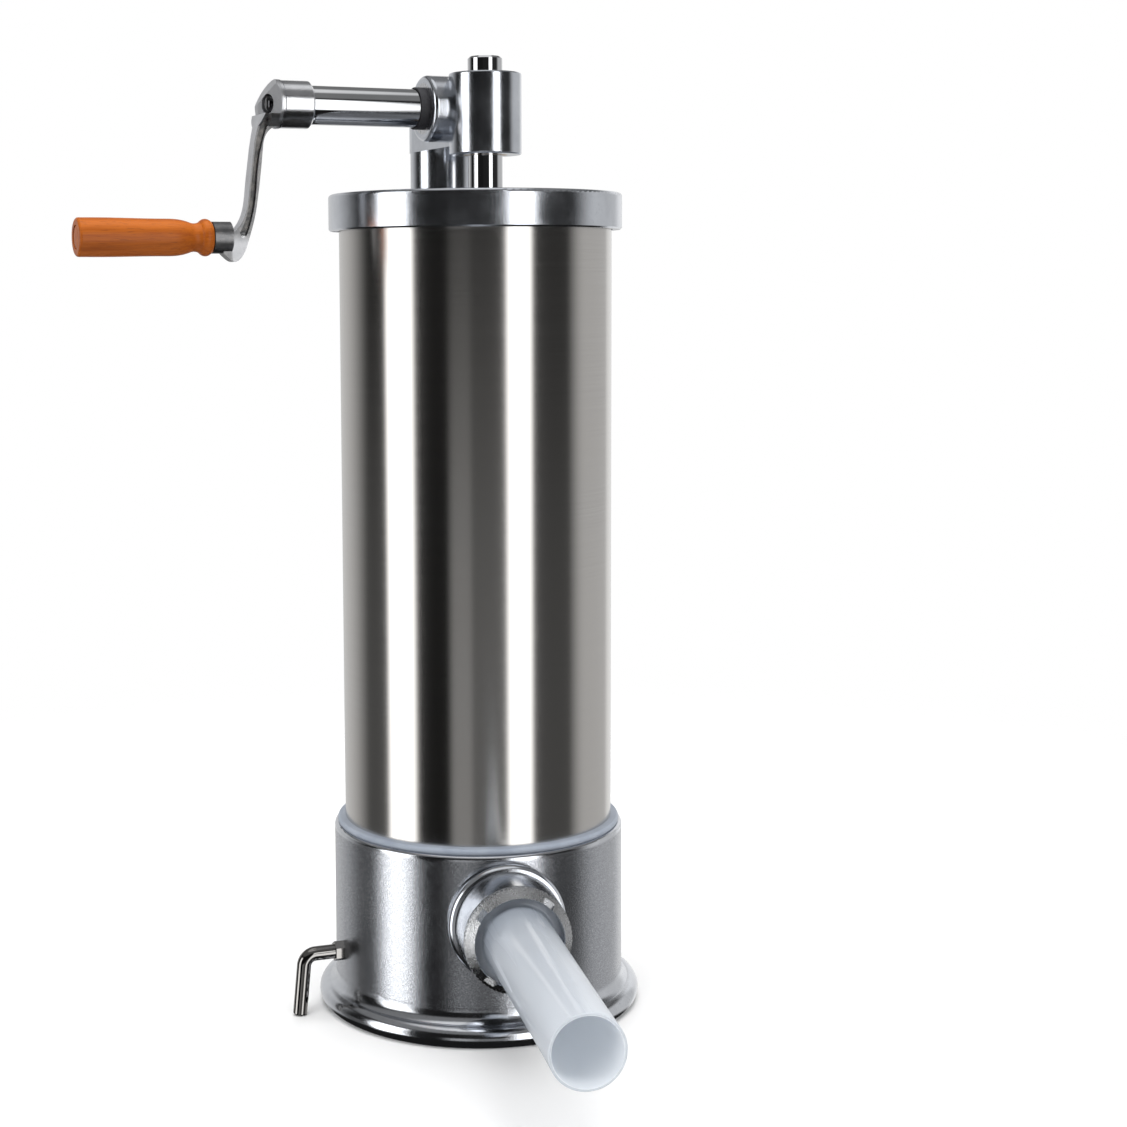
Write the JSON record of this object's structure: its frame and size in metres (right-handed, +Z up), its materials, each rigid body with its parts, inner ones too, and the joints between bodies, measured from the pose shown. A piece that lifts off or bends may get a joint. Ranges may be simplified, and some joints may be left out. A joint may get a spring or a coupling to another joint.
{
  "type": "sausage stuffer",
  "caption": "Vertical sausage stuffer: cast base with outlet and stuffing tube, stainless cylinder, cover with drive head, rack rod and piston, side crank with wooden grip.",
  "frame": {"origin": "centre of the base's underside, on the cylinder axis", "axes": "+Z up along the cylinder, -Y out of the outlet, crank towards -X"},
  "size_m": [0.3292, 0.3816, 0.56],
  "materials": {
    "cast_aluminium": "satin polished casting",
    "polished_aluminium": "polished",
    "brushed_stainless": "brushed round the cylinder",
    "chromed_steel": "bright chrome",
    "dark_chrome": "dark bright bar",
    "dark_screw": "blackened",
    "turned_aluminium": "turned",
    "bronze": "machined",
    "milky_plastic": "translucent",
    "silicone": "satin",
    "dark_rubber": "matt",
    "beech": "lacquered",
    "steel": "machined"
  },
  "bodies": {
    "base": {"base_casting": "cast_aluminium", "outlet_socket": "polished_aluminium", "cylinder_gasket": "silicone", "cylinder_tube": "brushed_stainless", "bayonet_pins": "steel", "lever_collar": "dark_chrome", "tube_gasket": "silicone"},
    "lever": {"lock_lever": "dark_chrome", "lever_clip": "steel"},
    "spout": {"stuffing_tube": "milky_plastic"},
    "ring_nut": {"ring_nut": "turned_aluminium"},
    "cover": {"lid_casting": "polished_aluminium", "lid_gasket": "silicone", "rod_wiper": "dark_rubber", "head_casting": "polished_aluminium", "rod_bush_lower": "bronze", "rod_bush_upper": "bronze", "shaft_bush": "turned_aluminium", "shaft_end_bush": "bronze", "shaft_seal": "dark_rubber", "head_screw": "steel", "head_dowel": "steel"},
    "crank": {"crank_shaft": "chromed_steel", "pinion_key": "steel", "crank_key": "steel", "pinion": "steel", "shaft_end_washer": "steel", "shaft_end_screw": "dark_screw", "crank_arm": "cast_aluminium", "crank_screw": "dark_screw", "grip_spindle": "steel"},
    "grip": {"grip": "beech"},
    "rod": {"rack_rod": "chromed_steel", "piston_disc": "cast_aluminium", "piston_seal": "silicone", "piston_washer": "steel", "piston_nut": "steel", "air_valve": "silicone"}
  },
  "joints": [
    {"name": "cover_twist", "type": "hinge", "parent": "base", "child": "cover", "pos_m": [0, 0, 0.466], "axis": [0, 0, 1], "range_deg": [0, 28]},
    {"name": "crank_turn", "type": "hinge", "parent": "cover", "child": "crank", "pos_m": [-0.00109, 0.00437, 0.5312], "axis": [-0.9703, -0.2419, 0], "range_deg": [0, 1570]},
    {"name": "rod_slide", "type": "slide", "parent": "cover", "child": "rod", "axis": [0, 0, 1], "range_m": [0, 0.33]},
    {"name": "grip_spin", "type": "hinge", "parent": "crank", "child": "grip", "pos_m": [-0.19515, -0.04402, 0.4565], "axis": [-0.9703, -0.2419, 0], "continuous": true},
    {"name": "lever_swing", "type": "hinge", "parent": "base", "child": "lever", "pos_m": [-0.08863, -0.01563, 0.036], "axis": [-0.9848, -0.1736, 0], "range_deg": [-90, 90]},
    {"name": "spout_release", "type": "slide", "parent": "base", "child": "spout", "axis": [0, -1, 0], "range_m": [0, 0.02]},
    {"name": "nut_turn", "type": "hinge", "parent": "spout", "child": "ring_nut", "pos_m": [0, -0.117, 0.0717], "axis": [0, -1, 0], "range_deg": [0, 900]}
  ],
  "couplings": [
    {"joint": "rod_slide", "follows": "crank_turn", "m_per_rad": 0.012},
    {"joint": "spout_release", "follows": "nut_turn", "m_per_rad": 0.0012732}
  ]
}
